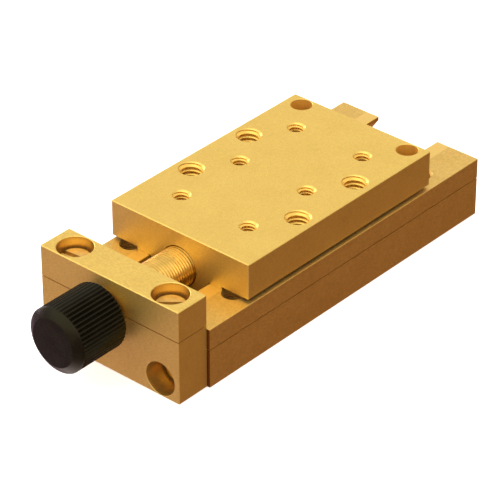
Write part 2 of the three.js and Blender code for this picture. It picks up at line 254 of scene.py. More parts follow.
GROUPS = {
    "slide_bodies": SlideBodySizes,
    "slide_holes": SlideHoleSizes,
    "slide_screws": SlideScrewSizes,
    "slide_finish": SlideFinish,
    "slide_view": SlideView,
}


def sizes(group):
    """One of the scene's groups of settings."""
    return getattr(bpy.context.scene, f"slide_{group}")


def underside():
    """Height of the carriage's underside beyond its pads."""
    bodies = sizes("bodies")
    return RAIL_HIGH.z + bodies.slide_gap + bodies.pad_drop


# Node trees


def wired(operation, reflected=False):
    """A method that turns one Python operator into a Math node."""

    def method(self, other):
        values = (other, self) if reflected else (self, other)
        return self.graph.math(operation, *values)

    return method


class Wire:
    """An output socket whose arithmetic adds Math nodes to its tree."""

    def __init__(self, graph, socket):
        self.graph = graph
        self.socket = socket

    __add__ = wired("ADD")
    __radd__ = wired("ADD", True)
    __sub__ = wired("SUBTRACT")
    __rsub__ = wired("SUBTRACT", True)
    __mul__ = wired("MULTIPLY")
    __rmul__ = wired("MULTIPLY", True)
    __truediv__ = wired("DIVIDE")
    __rtruediv__ = wired("DIVIDE", True)
    __pow__ = wired("POWER")
    __gt__ = wired("GREATER_THAN")
    __lt__ = wired("LESS_THAN")


MIX_COLOURS = (6, 7)  # a Mix node's two colour sockets
MIX_RESULT = 2


class Graph:
    """Adds nodes to one shader or geometry tree."""

    def __init__(self, tree):
        self.tree = tree

    def node(self, kind, setup=None, inputs=None):
        """A node with its settings made first, then its sockets given values or links."""
        node = self.tree.nodes.new(kind)
        for key, value in (setup or {}).items():
            setattr(node, key, value)
        for key, value in (inputs or {}).items():
            if isinstance(value, Wire):
                self.tree.links.new(value.socket, node.inputs[key])
            else:
                node.inputs[key].default_value = value
        return node

    def out(self, kind, setup=None, inputs=None, output=0):
        """The node's output as a wire."""
        return Wire(self, self.node(kind, setup, inputs).outputs[output])

    def math(self, operation, *values):
        return self.out("ShaderNodeMath", {"operation": operation}, dict(enumerate(values)))

    def span(self, factor, low, high):
        """low to high taken to 0 to 1, and held there."""
        values = {"Value": factor, "From Min": low, "From Max": high}
        return self.out("ShaderNodeMapRange", inputs=values)

    def mix(self, factor, *ends):
        """A colour between the two ends."""
        inputs = {"Factor": factor}
        for index, value in zip(MIX_COLOURS, ends):
            inputs[index] = value if isinstance(value, Wire) else (*value, 1)
        return self.out("ShaderNodeMix", {"data_type": "RGBA"}, inputs, MIX_RESULT)

    def parts(self, vector):
        """The vector's X, Y and Z."""
        split = self.node("ShaderNodeSeparateXYZ", inputs={"Vector": vector})
        return [Wire(self, socket) for socket in split.outputs]

    def vector(self, *parts):
        return self.out("ShaderNodeCombineXYZ", inputs=dict(zip("XYZ", parts)))


# Finishes


class Surface(Graph):
    """A material on Object coordinates, with the patterns that the finishes share."""

    def __init__(self, name):
        self.material = bpy.data.materials.new(name)
        self.material.use_nodes = True
        super().__init__(self.material.node_tree)
        self.tree.nodes.clear()
        self.place = self.out("ShaderNodeTexCoord", output="Object")

    def noise(self, size, detail=2, roughness=0.5, stretch=(1, 1, 1), offset=(0, 0, 0)):
        """Noise whose features are about size metres across, drawn out where stretch is small."""
        scale = [s / size for s in stretch]
        place = self.out(
            "ShaderNodeMapping", inputs={"Vector": self.place, "Location": offset, "Scale": scale}
        )
        values = {"Vector": place, "Scale": 1, "Detail": detail, "Roughness": roughness}
        return self.out("ShaderNodeTexNoise", inputs=values)

    def bump(self, height, distance):
        return self.out("ShaderNodeBump", inputs={"Height": height, "Distance": distance, "Strength": 1})

    def finish(self, inputs):
        shader = self.out("ShaderNodeBsdfPrincipled", inputs=inputs)
        self.node("ShaderNodeOutputMaterial", inputs={"Surface": shader})
        return self.material


def scaled(shade, factor):
    return tuple(min(1, part * factor) for part in shade)


def depth_inside(surface, low, high):
    """How far a point lies inside a box, across its sides, ends and top."""
    x, y, z = surface.parts(surface.place)
    least = high.z - z
    for along, near, far in ((x, low.x, high.x), (y, low.y, high.y)):
        off_middle = surface.math("ABSOLUTE", along - (near + far) / 2)
        least = surface.math("MINIMUM", least, (far - near) / 2 - off_middle)
    return least


def ground_brass(
    name, shade, dark, roughness, lay=(1, 1, 1), strip=0, body=None, bore_shade=None,
    plain_from=None, foot=None, painted_shade=None, met=None,
):
    """Fine-ground brass: a soft mottle, faint tarnish, grinding grain and a few hairline scratches.

    lay draws the grain out along the axis whose number is small. strip burnishes what is nearer the middle.
    body is the box whose holes and underside get painted light and shade, in bore_shade, and are matt
    beyond plain_from. Inside it, what lies below foot gets painted shade, as does an end face at met, the
    crease where a neighbour is bolted on.
    """
    surface = Surface(name)
    x, y, z = surface.parts(surface.place)
    clouds = surface.noise(8 * MM, 4, 0.6)
    mottle = surface.noise(0.9 * MM, 4, 0.65)
    grain = surface.noise(0.17 * MM, 3, 0.6, lay)
    hairs = surface.noise(0.5 * MM, 1, 0.4, [0.35 * axis for axis in lay], (3, 7, 1))
    ridges = surface.span(grain, 0.3, 0.7)
    patch = surface.span(clouds * 0.5 + mottle * 0.5, 0.38, 0.66)
    tints = [surface.mix(ridges, scaled(tone, 0.8), scaled(tone, 1.08)) for tone in (shade, dark)]
    tint = surface.mix(patch, *tints)
    rough = roughness + (mottle - 0.5) * 0.12 + (grain - 0.5) * 0.14
    height = grain - surface.span(hairs, 0.7, 0.8) * 0.3 + mottle * 0.4
    metallic = 0.97
    if strip:
        rubbed = surface.span(surface.math("ABSOLUTE", x), strip + 0.25 * MM, strip - 0.25 * MM)
        tint = surface.mix(rubbed * 0.7, tint, scaled(shade, 1.12))
        rough = rough - rubbed * 0.08
    if body:
        # Painted light and shade: the hole walls and the underside inside body take bore_shade, to look lit
        # or shaded.
        inside_paint_mask = surface.span(depth_inside(surface, *body), 0.1 * MM, 0.5 * MM)
        tint = surface.mix(inside_paint_mask, tint, bore_shade)
        rough = rough - inside_paint_mask * 0.2
        metallic = metallic - inside_paint_mask * 0.1
    if plain_from:
        matt = surface.span(y, plain_from, plain_from + 1 * MM) * inside_paint_mask
        metallic = metallic - matt * 0.1
        rough = rough + matt * 0.12
    if foot:
        # Painted shade: darkens what lies below foot, the shade under the carriage's overhang.
        underside_shade_mask = surface.span(z, foot + 0.05 * MM, foot) * inside_paint_mask
        tint = surface.mix(underside_shade_mask, tint, painted_shade)
    if met is not None:
        # Painted shade: darkens the end face in the crease where it meets its neighbour.
        end_face_shade_mask = surface.span(y, met + 0.08 * MM, met + 0.02 * MM)
        tint = surface.mix(end_face_shade_mask, tint, painted_shade)
    bump = surface.bump(height, 0.004 * MM)
    return surface.finish({"Base Color": tint, "Metallic": metallic, "Roughness": rough, "Normal": bump})


def turned_metal(name, shade, roughness):
    """Lathe-turned metal: fine tool marks read as a close grain, with slight staining."""
    surface = Surface(name)
    stain = surface.noise(2.2 * MM, 3, 0.6)
    grain = surface.noise(0.12 * MM, 2, 0.5, (1, 2, 2))
    tint = surface.mix(surface.span(stain, 0.35, 0.7), shade, scaled(shade, 0.72))
    rough = roughness + (stain - 0.5) * 0.16 + (grain - 0.5) * 0.1
    bump = surface.bump(grain, 0.003 * MM)
    return surface.finish({"Base Color": tint, "Metallic": 1.0, "Roughness": rough, "Normal": bump})


def moulded_plastic(name, shade):
    """Satin black moulded plastic with a fine grain and handling marks."""
    surface = Surface(name)
    grain = surface.noise(0.11 * MM, 3, 0.6)
    rubs = surface.noise(2.6 * MM, 3, 0.6, (1, 0.4, 1))
    tint = surface.mix(surface.span(rubs, 0.4, 0.75), shade, scaled(shade, 1.9))
    rough = 0.27 + (rubs - 0.5) * 0.2 + (grain - 0.5) * 0.12
    bump = surface.bump(grain, 0.01 * MM)
    sheen = {"Specular IOR Level": 0.16, "Specular Tint": (1, 0.92, 0.5, 1)}
    return surface.finish({"Base Color": tint, "Roughness": rough, "Normal": bump, **sheen})


LAY_ALONG = (1, 0.2, 1)  # grain drawn out along Y
LAY_ACROSS = (0.2, 1, 1)  # and along X

FINISHES = {
    # The carriage's holes and underside get painted light, and the underside below its pads gets painted
    # shade.
    "carriage": lambda s: ground_brass(
        "ground_brass", s.brass, s.brass_dark, s.roughness, body=(CARRIAGE_LOW, CARRIAGE_HIGH),
        bore_shade=s.tapped, plain_from=CARRIAGE_HIGH.y - 3 * sizes("holes").plain_edge,
        foot=underside(), painted_shade=s.painted_shade,
    ),
    # The block's counterbores get painted shade.
    "block": lambda s: ground_brass(
        "block_brass", s.brass, s.brass_dark, s.roughness, LAY_ACROSS,
        body=(BLOCK_LOW, CAP_HIGH), bore_shade=s.bored,
    ),
    # Rails and base get painted shade on their end faces against the block.
    "rail": lambda s: ground_brass(
        "rail_brass", s.rail_brass, s.rail_dark, s.roughness, LAY_ALONG,
        RAIL_LOW.x + sizes("bodies").pad_width, met=RAIL_LOW.y, painted_shade=s.painted_shade,
    ),
    "base": lambda s: ground_brass(
        "base_brass", s.rail_brass, s.rail_dark, s.roughness, LAY_ALONG, met=BASE_LOW.y, painted_shade=s.painted_shade,
    ),
    "screw": lambda s: turned_metal("screw_brass", s.screw, 0.48),
    # Block screws sunk in their counterbores: a darker copy of the counterbore colour, painted shade.
    "deep_screw": lambda s: turned_metal("stained_screw_brass", scaled(s.bored, 0.6), 0.45),
    "leadscrew": lambda s: turned_metal("leadscrew_brass", s.leadscrew, 0.27),
    "bronze": lambda s: turned_metal("nut_bronze", s.bronze, 0.4),
    "steel": lambda s: turned_metal("ground_steel", s.steel, 0.3),
    "plastic": lambda s: moulded_plastic("black_plastic", s.plastic),
}
MADE = {}


def finish(name):
    """Each finish is made once, when a piece first asks for it."""
    if name not in MADE:
        MADE[name] = FINISHES[name](sizes("finish"))
    return MADE[name]


# Meshes


def mesh_object(name, points, faces):
    mesh = bpy.data.meshes.new(name)
    mesh.from_pydata(points, [], faces)
    mesh.update()
    piece = bpy.data.objects.new(name, mesh)
    bpy.context.scene.collection.objects.link(piece)
    return piece


def settled(piece):
    """The piece with its modifiers made part of its mesh."""
    graph = bpy.context.evaluated_depsgraph_get()
    mesh = bpy.data.meshes.new_from_object(piece.evaluated_get(graph))
    piece.modifiers.clear()
    old = piece.data
    piece.data = mesh
    bpy.data.meshes.remove(old)
    mesh.name = piece.name
    return piece


def turned(name, outline, place=(0, 0, 0), axis="Z", sides=SIDES):
    """A closed solid of revolution about Z or Y.

    The outline holds (radius, height) pairs from the axis to the axis, rising along its outer wall.
    """
    points = []
    rings = []
    for radius, height in outline:
        count = sides if radius else 1
        rings.append(range(len(points), len(points) + count))
        for step in range(count):
            turn = 2 * math.pi * step / sides
            across, up = radius * math.cos(turn), radius * math.sin(turn)
            spot = (across, height, -up) if axis == "Y" else (across, up, height)
            points.append(Vector(spot) + Vector(place))
    faces = []
    for low, high in zip(rings, rings[1:]):
        for step in range(sides):
            ends = ((low, step), (low, step + 1), (high, step + 1), (high, step))
            face = list(dict.fromkeys(ring[at % sides % len(ring)] for ring, at in ends))
            if len(face) > 2:
                faces.append(face)
    return mesh_object(name, points, faces)


def drawn(name, section, low, high):
    """A section of (x, z) corners, counter-clockwise as seen from -Y, drawn along Y from low to high."""
    count = len(section)
    points = [(x, y, z) for y in (low, high) for x, z in section]
    faces = [list(range(count)), list(reversed(range(count, 2 * count)))]
    for step in range(count):
        after = (step + 1) % count
        faces.append([after, step, step + count, after + count])
    return mesh_object(name, points, faces)


def block(name, low, high):
    section = [(low[0], low[2]), (high[0], low[2]), (high[0], high[2]), (low[0], high[2])]
    return drawn(name, section, low[1], high[1])


def chamfered(piece, width, chosen):
    """Breaks the sharp edges for which chosen, given an edge's two ends, says yes."""
    grid = bmesh.new()
    grid.from_mesh(piece.data)
    edges = [
        edge
        for edge in grid.edges
        if edge.calc_face_angle(0) > SHARP_CORNER and chosen(*(vert.co for vert in edge.verts))
    ]
    bmesh.ops.bevel(grid, geom=edges, offset=width, segments=1, affect="EDGES", clamp_overlap=True)
    grid.to_mesh(piece.data)
    grid.free()
    return piece


def on_rim(start, end, half, top):
    """Whether an edge lies in the outer sides, half away from the middle, or in the top."""
    return all(abs(abs(spot.x) - half) < WELD or abs(spot.z - top) < WELD for spot in (start, end))


def combined(piece, tools, operation="DIFFERENCE"):
    """The piece with each tool cut from it, joined to it or kept as its only room. Uses the tools up."""
    for tool in tools:
        change = piece.modifiers.new(tool.name, "BOOLEAN")
        change.operation = operation
        change.solver = "MANIFOLD"
        change.object = tool
    settled(piece)
    for tool in tools:
        bpy.data.objects.remove(tool)
    return piece


def finished(piece, look, body, slot, *nodes, sharp=28):
    """Gives the piece its material and shading, and lets it ride and stand for its nodes.

    Edges that turn by more than sharp degrees stay crisp.
    """
    mesh = piece.data
    mesh.materials.clear()
    mesh.materials.append(finish(look))
    mesh.polygons.foreach_set("material_index", [0] * len(mesh.polygons))
    mesh.polygons.foreach_set("use_smooth", [True] * len(mesh.polygons))
    mesh.set_sharp_from_angle(angle=math.radians(sharp))
    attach(piece, body)
    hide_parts(*nodes)
    return piece


# Geometry Nodes


class Shaper(Graph):
    """A geometry tree with named inputs, whose result ends realized and with its material."""

    def __init__(self, name, lengths, count):
        super().__init__(bpy.data.node_groups.new(name, "GeometryNodeTree"))
        kinds = {"Geometry": "NodeSocketGeometry"}
        kinds.update(dict.fromkeys(lengths, "NodeSocketFloat"))
        kinds[count] = "NodeSocketInt"
        kinds["Material"] = "NodeSocketMaterial"
        self.identifiers = {}
        for label, kind in kinds.items():
            socket = self.tree.interface.new_socket(label, in_out="INPUT", socket_type=kind)
            self.identifiers[label] = socket.identifier
        self.tree.interface.new_socket("Geometry", in_out="OUTPUT", socket_type="NodeSocketGeometry")
        self.group = self.node("NodeGroupInput")

    def inputs(self, *labels):
        """The named inputs as wires."""
        return [Wire(self, self.group.outputs[label]) for label in labels]

    def close(self, geometry):
        realized = self.out("GeometryNodeRealizeInstances", inputs={"Geometry": geometry})
        (material,) = self.inputs("Material")
        values = {"Geometry": realized, "Material": material}
        dressed = self.out("GeometryNodeSetMaterial", inputs=values)
        self.node("NodeGroupOutput", inputs={"Geometry": dressed})

    def moved(self, geometry, place):
        values = {"Geometry": geometry, "Position": place}
        return self.out("GeometryNodeSetPosition", inputs=values)

    def lathe(self, sides, rows, shape):
        """A welded solid of revolution about Z. shape gives the radius and height of a row at a turn."""
        grid = self.node("GeometryNodeMeshGrid", inputs={"Vertices X": sides + 1, "Vertices Y": rows})
        around, up, _ = self.parts(Wire(self, grid.outputs["UV Map"]))
        radius, height = shape(self.math("ROUND", up * (rows - 1)), around)
        turn = around * (2 * math.pi)
        place = self.vector(radius * self.math("COSINE", turn), radius * self.math("SINE", turn), height)
        moved = self.moved(Wire(self, grid.outputs["Mesh"]), place)
        return self.out("GeometryNodeMergeByDistance", inputs={"Geometry": moved, "Distance": WELD})

    def run(self, piece, values):
        """Runs the tree on the piece and leaves it a plain mesh."""
        modifier = piece.modifiers.new(self.tree.name, "NODES")
        modifier.node_group = self.tree
        for label, value in values.items():
            modifier[self.identifiers[label]] = value
        piece.update_tag()
        return settled(piece)


THREAD_SHARES = ("Rise", "Crest Start", "Crest End")


def thread_tree():
    """A threaded rod along Z: four rows a pitch, wound so that they follow the helix.

    Rise, Crest Start and Crest End are shares of the pitch: where the root ends, and the crest's two ends.
    """
    lengths = ("Root", "Crest", "Pitch", "Start", "End", *THREAD_SHARES)
    shaper = Shaper("Helical Thread", lengths, "Sides")
    root, crest, pitch, start, end, *shares = shaper.inputs(*lengths)
    (sides,) = shaper.inputs("Sides")
    per_turn = 4
    spare_turns = 3
    fade = pitch * 0.2
    rows = shaper.math("CEIL", (end - start) / pitch + spare_turns) * per_turn + 1

    def shape(row, around):
        step = shaper.math("FLOORED_MODULO", row, per_turn)
        share = (row - step) / per_turn
        for index, place in enumerate(shares, 1):
            share = share + shaper.math("COMPARE", step, index, 0.1) * place
        wound = start + pitch * (share + around - spare_turns / 2)
        inside = (wound > start + fade) * (wound < end - fade)
        off_axis = (row > 0.5) * (row < rows - 1.5)
        radius = (root + (crest - root) * (step > 1.5) * inside) * off_axis
        return radius, shaper.math("MINIMUM", shaper.math("MAXIMUM", wound, start), end)

    shaper.close(shaper.lathe(sides, rows, shape))
    return shaper


def rib_tree():
    """Cuts straight grooves into a turned blank that lies along Y, its axis at Height above the origin.

    The grooves begin at Start and reach their depth over Run.
    """
    lengths = ("Radius", "Depth", "Height", "Start", "Run")
    shaper = Shaper("Straight Ribs", lengths, "Ribs")
    radius, depth, height, start, run = shaper.inputs(*lengths)
    ribs, geometry = shaper.inputs("Ribs", "Geometry")
    x, y, z = shaper.parts(shaper.out("GeometryNodeInputPosition"))
    up = z - height
    reach = shaper.math("SQRT", x * x + up * up)
    wave = shaper.math("COSINE", shaper.math("ARCTAN2", up, x) * ribs) * 0.5 + 0.5
    reached = shaper.math("MINIMUM", shaper.math("MAXIMUM", (y - start) / run, 0), 1)
    groove = radius - depth * reached * wave**1.5
    share = shaper.math("MINIMUM", reach, groove) / shaper.math("MAXIMUM", reach, WELD)
    shaper.close(shaper.moved(geometry, shaper.vector(x * share, y, height + up * share)))
    return shaper


def screw_tree():
    """A slotted cheese-head screw with its head's top at every point, aimed by the point's own turn."""
    lengths = ("Head", "Head Height", "Shank", "Length", "Slot Width", "Slot Depth", "Chamfer")
    shaper = Shaper("Cheese Head Screws", lengths, "Sides")
    head, tall, shank, whole, wide, deep, chamfer = shaper.inputs(*lengths)
    sides, points = shaper.inputs("Sides", "Geometry")
    outline = (
        (0, whole * -1), (shank - chamfer, whole * -1), (shank, chamfer - whole), (shank, tall * -1),
        (head, tall * -1), (head, chamfer * -1), (head - chamfer, 0), (0, 0),
    )

    def shape(row, around):
        radius, height = 0, 0
        for index, (reach, level) in enumerate(outline):
            here = shaper.math("COMPARE", row, index, 0.1)
            radius = here * reach + radius
            height = here * level + height
        return radius, height

    blank = shaper.lathe(sides, len(outline), shape)
    bar = shaper.out("GeometryNodeMeshCube", inputs={"Size": shaper.vector(head * 3, wide, deep * 2)})
    slot = shaper.node("GeometryNodeMeshBoolean", {"operation": "DIFFERENCE", "solver": "MANIFOLD"})
    shaper.tree.links.new(blank.socket, slot.inputs["Mesh 1"])
    shaper.tree.links.new(bar.socket, slot.inputs["Mesh 2"])
    aim = shaper.out("GeometryNodeInputNamedAttribute", {"data_type": "FLOAT_VECTOR"}, {"Name": "aim"})
    turn = shaper.out("FunctionNodeEulerToRotation", inputs={"Euler": aim})
    slotted = Wire(shaper, slot.outputs["Mesh"])
    values = {"Points": points, "Instance": slotted, "Rotation": turn}
    shaper.close(shaper.out("GeometryNodeInstanceOnPoints", inputs=values))
    return shaper


TREES = {}


def tree(make):
    """Each tree is built once."""
    if make not in TREES:
        TREES[make] = make()
    return TREES[make]


EVEN_THREAD = (0.25, 0.56, 0.69)
LEANING_THREAD = (0.1, 0.62, 0.9)  # long faces up, as a tap leaves them in soft brass


def threaded_rod(
    name, root, crest, pitch, low, high, place=(0, 0, 0), axis="Z", sides=48, form=EVEN_THREAD,
):
    """A threaded rod from low to high along its axis."""
    piece = mesh_object(name, [], [])
    values = {"Root": root, "Crest": crest, "Pitch": pitch, "Start": low, "End": high, "Sides": sides}
    values.update(zip(THREAD_SHARES, form))
    tree(thread_tree).run(piece, values)
    if axis == "Y":
        piece.data.transform(Matrix.Rotation(-math.pi / 2, 4, "X"))
    piece.data.transform(Matrix.Translation(place))
    return piece


# Cutting tools


def plain_hole(radius, mouth, low, high, place, axis="Z"):
    """A through hole from low to high with a broken edge at both mouths."""
    wide = radius + mouth + PAST
    outline = [
        (0, low - PAST), (wide, low - PAST), (radius, low + mouth),
        (radius, high - mouth), (wide, high + PAST), (0, high + PAST),
    ]
    return turned("hole", outline, place, axis)


def tap(size, low, high, x, y, form):
    """The thread that one size of tap leaves from low to high."""
    holes = sizes("holes")
    core, crest, pitch = (getattr(holes, f"{size}_{part}") for part in ("core", "crest", "pitch"))
    return threaded_rod("tap", core - pitch / 8, crest, pitch, low, high, (x, y, 0), form=form)


def tapped_hole(size, x, y, top, bottom, blind):
    """A hole tapped down from top: the countersunk drilling, then the thread."""
    holes = sizes("holes")
    core, mouth, pitch = (getattr(holes, f"{size}_{part}") for part in ("core", "mouth", "pitch"))
    low = bottom if blind else bottom - PAST
    point = core * math.tan(DRILL_POINT) if blind else 0
    flare = (core, top - (mouth - core))
    outline = [(0, low - point), (core, low), flare, (mouth + PAST, top + PAST), (0, top + PAST)]
    runout = 1.5 * pitch if blind else -2 * PAST
    drill = turned("drill", outline, (x, y, 0))
    return [drill, tap(size, bottom + runout, top + 2 * PAST, x, y, LEANING_THREAD)]


def tool_marks(radius, low, high):
    """The wall of a bored hole from low to high, with the fine rings that the tool's feed leaves."""
    feed, depth = sizes("holes").feed, sizes("holes").feed_depth
    count = int((high - low) / feed)
    return [(radius - depth * (step % 2), low + feed * step) for step in range(1, count)]


def screw_bore(name, gap, face, head_height, shank, axis="Z"):
    """The counterbore and hole that a cheese-head screw lies in, read from where the screw is."""
    low, high = corners(name)
    middle = (low + high) / 2
    radius = (high.x - low.x) / 2 + gap
    if axis == "Z":
        mouth, long, sunk = sizes("bodies").mouth, high.z - low.z, face - high.z
    else:
        mouth, long, sunk = sizes("bodies").rail_edge, high.y - low.y, low.y - face
    outline = [
        (0, -long - END), (shank, -long - END), (shank, -head_height), (radius, -head_height),
        *tool_marks(radius, -head_height, sunk - mouth),
        (radius, sunk - mouth), (radius + mouth + PAST, sunk + PAST), (0, sunk + PAST),
    ]
    if axis == "Z":
        return turned("bore", outline, (middle.x, middle.y, high.z))
    outline = [(across, -height) for across, height in reversed(outline)]
    return turned("bore", outline, (middle.x, low.y, middle.z), "Y")


def cap_bores():
    gap, screws, top = sizes("holes").cap_gap, sizes("screws"), CAP_HIGH.z
    return [screw_bore(name, gap, top, screws.big_head, screws.big_shank) for name in CAP_SCREWS]


def block_bores():
    gap, screws = sizes("holes").block_gap, sizes("screws")
    return [
        screw_bore(name, gap, BLOCK_LOW.y, screws.big_head, screws.big_shank, "Y")
        for name in BLOCK_SCREWS
    ]


def rail_bores():
    gap, screws, top = sizes("holes").rail_gap, sizes("screws"), RAIL_HIGH.z
    return [screw_bore(name, gap, top, screws.rail_head, screws.rail_shank) for name in RAIL_SCREWS]


def dowel_holes():
    tools = []
    for name in DOWELS:
        low, high = corners(name)
        middle = (low + high) / 2
        radius = (high.x - low.x) / 2
        outline = [(0, low.z - END), (radius, low.z - END), (radius, high.z + PAST), (0, high.z + PAST)]
        tools.append(turned("dowel_hole", outline, (middle.x, middle.y, 0)))
    return tools


def seam_line(low, high):
    """Thin bars round the foot of a piece, which leave a fine line where it stands on its neighbour."""
    bodies = sizes("bodies")
    near_corner = Vector((low.x - PAST, low.y - PAST, low.z - PAST))
    far_corner = Vector((high.x + PAST, high.y + PAST, low.z + bodies.seam))
    bars = []
    for axis in (0, 1):
        for end in (0, 1):
            near, far = near_corner.copy(), far_corner.copy()
            if end:
                near[axis] = high[axis] - bodies.seam_depth
            else:
                far[axis] = low[axis] + bodies.seam_depth
            bars.append(block("seam_bar", near, far))
    return bars


def mounting_holes():
    """Through holes in the rails and base, tapped from top to bottom and chamfered at both mouths."""
    holes = sizes("holes")
    low, high = BASE_LOW.z, RAIL_HIGH.z
    flare = holes.mounting_mouth - holes.mounting_core
    tools = []
    for x in (-holes.mounting_x, holes.mounting_x):
        for y in (BASE_LOW.y + holes.mounting_end, BASE_HIGH.y - holes.mounting_end):
            tools.append(plain_hole(holes.mounting_core, flare, low, high, (x, y, 0)))
            tools.append(tap("mounting", low - 2 * PAST, high + 2 * PAST, x, y, EVEN_THREAD))
    return tools


# Pieces


class SLIDE_OT_base_plate(bpy.types.Operator):
    """Milled base plate with its screw, dowel and mounting holes"""

    bl_idname = "slide.base_plate"
    bl_label = "Base Plate"

    def execute(self, context):
        def below_seam(start, end):
            return min(start.z, end.z) < BASE_HIGH.z - END

        piece = chamfered(block("base_body", BASE_LOW, BASE_HIGH), sizes("bodies").rail_edge, below_seam)
        combined(piece, [*rail_bores(), *block_bores(), *dowel_holes(), *mounting_holes()])
        finished(piece, "base", "base", "brass", "base_plate")
        return {"FINISHED"}


class SLIDE_OT_rails(bpy.types.Operator):
    """Two dovetail rails whose inner flanks lean outwards below an upright lip"""

    bl_idname = "slide.rails"
    bl_label = "Dovetail Rails"

    def execute(self, context):
        bodies = sizes("bodies")
        top, foot, inner = RAIL_HIGH.z, RAIL_LOW.z, RAIL_LOW.x
        lip_foot = top - bodies.lip
        lean = (top - foot - bodies.lip) / math.tan(bodies.flank_angle)
        for name, side, outer in (("right_rail", 1, RAIL_HIGH.x), ("left_rail", -1, -LEFT_RAIL_LOW.x)):
            section = [
                (inner + lean, foot), (outer, foot), (outer, top), (inner, top), (inner, lip_foot),
            ]
            if side < 0:
                section = [(-x, z) for x, z in reversed(section)]

            def outside(start, end, outer=outer):
                return on_rim(start, end, outer, top) and max(start.z, end.z) > foot + END

            piece = drawn(f"{name}_body", section, RAIL_LOW.y, RAIL_HIGH.y)
            chamfered(piece, bodies.rail_edge, outside)
            rim = seam_line(*corners(name))
            combined(piece, [*rim, *rail_bores(), *dowel_holes(), *mounting_holes()])
            finished(piece, "rail", "base", "brass", name)
        return {"FINISHED"}


class SLIDE_OT_bearing(bpy.types.Operator):
    """Split bearing block and its cap, which hold the leadscrew's collar"""

    bl_idname = "slide.bearing"
    bl_label = "Bearing Block"

    def execute(self, context):
        bodies, holes, screws = sizes("bodies"), sizes("holes"), sizes("screws")
        front, rear = BLOCK_LOW.y, BLOCK_HIGH.y
        middle = (front + rear) / 2
        bore = screws.journal + holes.running_gap
        groove = SCREW_HIGH.x + holes.running_gap
        half = screws.collar_width / 2 + screws.washer_room
        wide = bore + (bodies.mouth + PAST)
        outline = [
            (0, front - PAST), (wide, front - PAST), (bore, front + bodies.mouth),
            (bore, middle - half), (groove, middle - half), (groove, middle + half),
            (bore, middle + half), (bore, rear - bodies.mouth), (wide, rear + PAST), (0, rear + PAST),
        ]

        def off_seam(start, end):
            return max(abs(start.z - AXIS_HEIGHT), abs(end.z - AXIS_HEIGHT)) > END

        for name in ("bearing_block", "bearing_cap"):
            low, high = corners(name)
            piece = chamfered(block(f"{name}_body", low, high), bodies.edge, off_seam)
            shaft = turned("shaft_bore", outline, (0, 0, AXIS_HEIGHT), "Y")
            rim = seam_line(low, high) if name == "bearing_cap" else []
            combined(piece, [*rim, shaft, *cap_bores(), *block_bores()])
            finished(piece, "block", "base", "brass", name)
        return {"FINISHED"}


class SLIDE_OT_carriage(bpy.types.Operator):
    """Carriage with its dovetail, leadscrew bore, nut pocket and top holes"""

    bl_idname = "slide.carriage"
    bl_label = "Carriage"

    def section(self):
        """The carriage's end profile: a plate with two pads, a neck and a spread dovetail foot."""
        bodies = sizes("bodies")
        inner, side, pad = RAIL_LOW.x, CARRIAGE_HIGH.x, RAIL_HIGH.z + bodies.slide_gap
        neck, pad_start = inner - bodies.neck_inset, inner + bodies.neck_inset
        pad_end = inner + bodies.pad_width
        relief = pad + bodies.corner_relief
        slope = math.tan(bodies.flank_angle)
        flank_gap = bodies.slide_gap / math.sin(bodies.flank_angle)
        lip_foot = RAIL_HIGH.z - bodies.lip
        foot, top, under = CARRIAGE_LOW.z, CARRIAGE_HIGH.z, underside()
        foot_top = foot + bodies.foot_land
        spread = inner + (lip_foot - foot_top) / slope - flank_gap
        flank_top = lip_foot + (inner - flank_gap - neck) * slope
        right = [
            (spread, foot), (spread, foot_top), (neck, flank_top), (neck, relief), (pad_start, relief),
            (pad_start, pad), (pad_end, pad), (pad_end, under), (side, under), (side, top),
        ]
        return right + [(-x, z) for x, z in reversed(right)]

    def top_holes(self):
        holes = sizes("holes")
        under, top = underside(), CARRIAGE_HIGH.z
        middle, pitch = CARRIAGE_MIDDLE.y, holes.pitch_y
        tools = []
        for side in (-1, 1):
            inner, outer = side * holes.inner_x, side * holes.outer_x
            for row in (-1, 0, 1):
                bottom = top - holes.small_depth
                tools += tapped_hole("small", inner, middle + row * pitch, top, bottom, True)
            for row in (-0.5, 0.5):
                tools += tapped_hole("large", outer, middle + row * pitch, top, under - PAST, False)
            place = (outer, CARRIAGE_HIGH.y - holes.plain_edge, 0)
            tools.append(plain_hole(holes.plain_radius, sizes("bodies").mouth, under, top, place))
        return tools

    def execute(self, context):
        bodies = sizes("bodies")
        front, rear = CARRIAGE_LOW.y, CARRIAGE_HIGH.y
        piece = drawn("carriage_body", self.section(), front, rear)

        def outside(start, end):
            return on_rim(start, end, CARRIAGE_HIGH.x, CARRIAGE_HIGH.z)

        chamfered(piece, bodies.edge, outside)
        nut_low, nut_high = corners("lead_nut")
        gap = Vector([bodies.nut_gap] * 3)
        pocket = block("pocket", nut_low - gap - Vector((0, 0, PAST)), nut_high + gap)
        bore = plain_hole(bodies.screw_bore, bodies.mouth, front, rear, (0, 0, AXIS_HEIGHT), "Y")
        combined(piece, [bore, pocket, *self.top_holes()])
        finished(piece, "carriage", "carriage", "brass", "carriage")
        return {"FINISHED"}


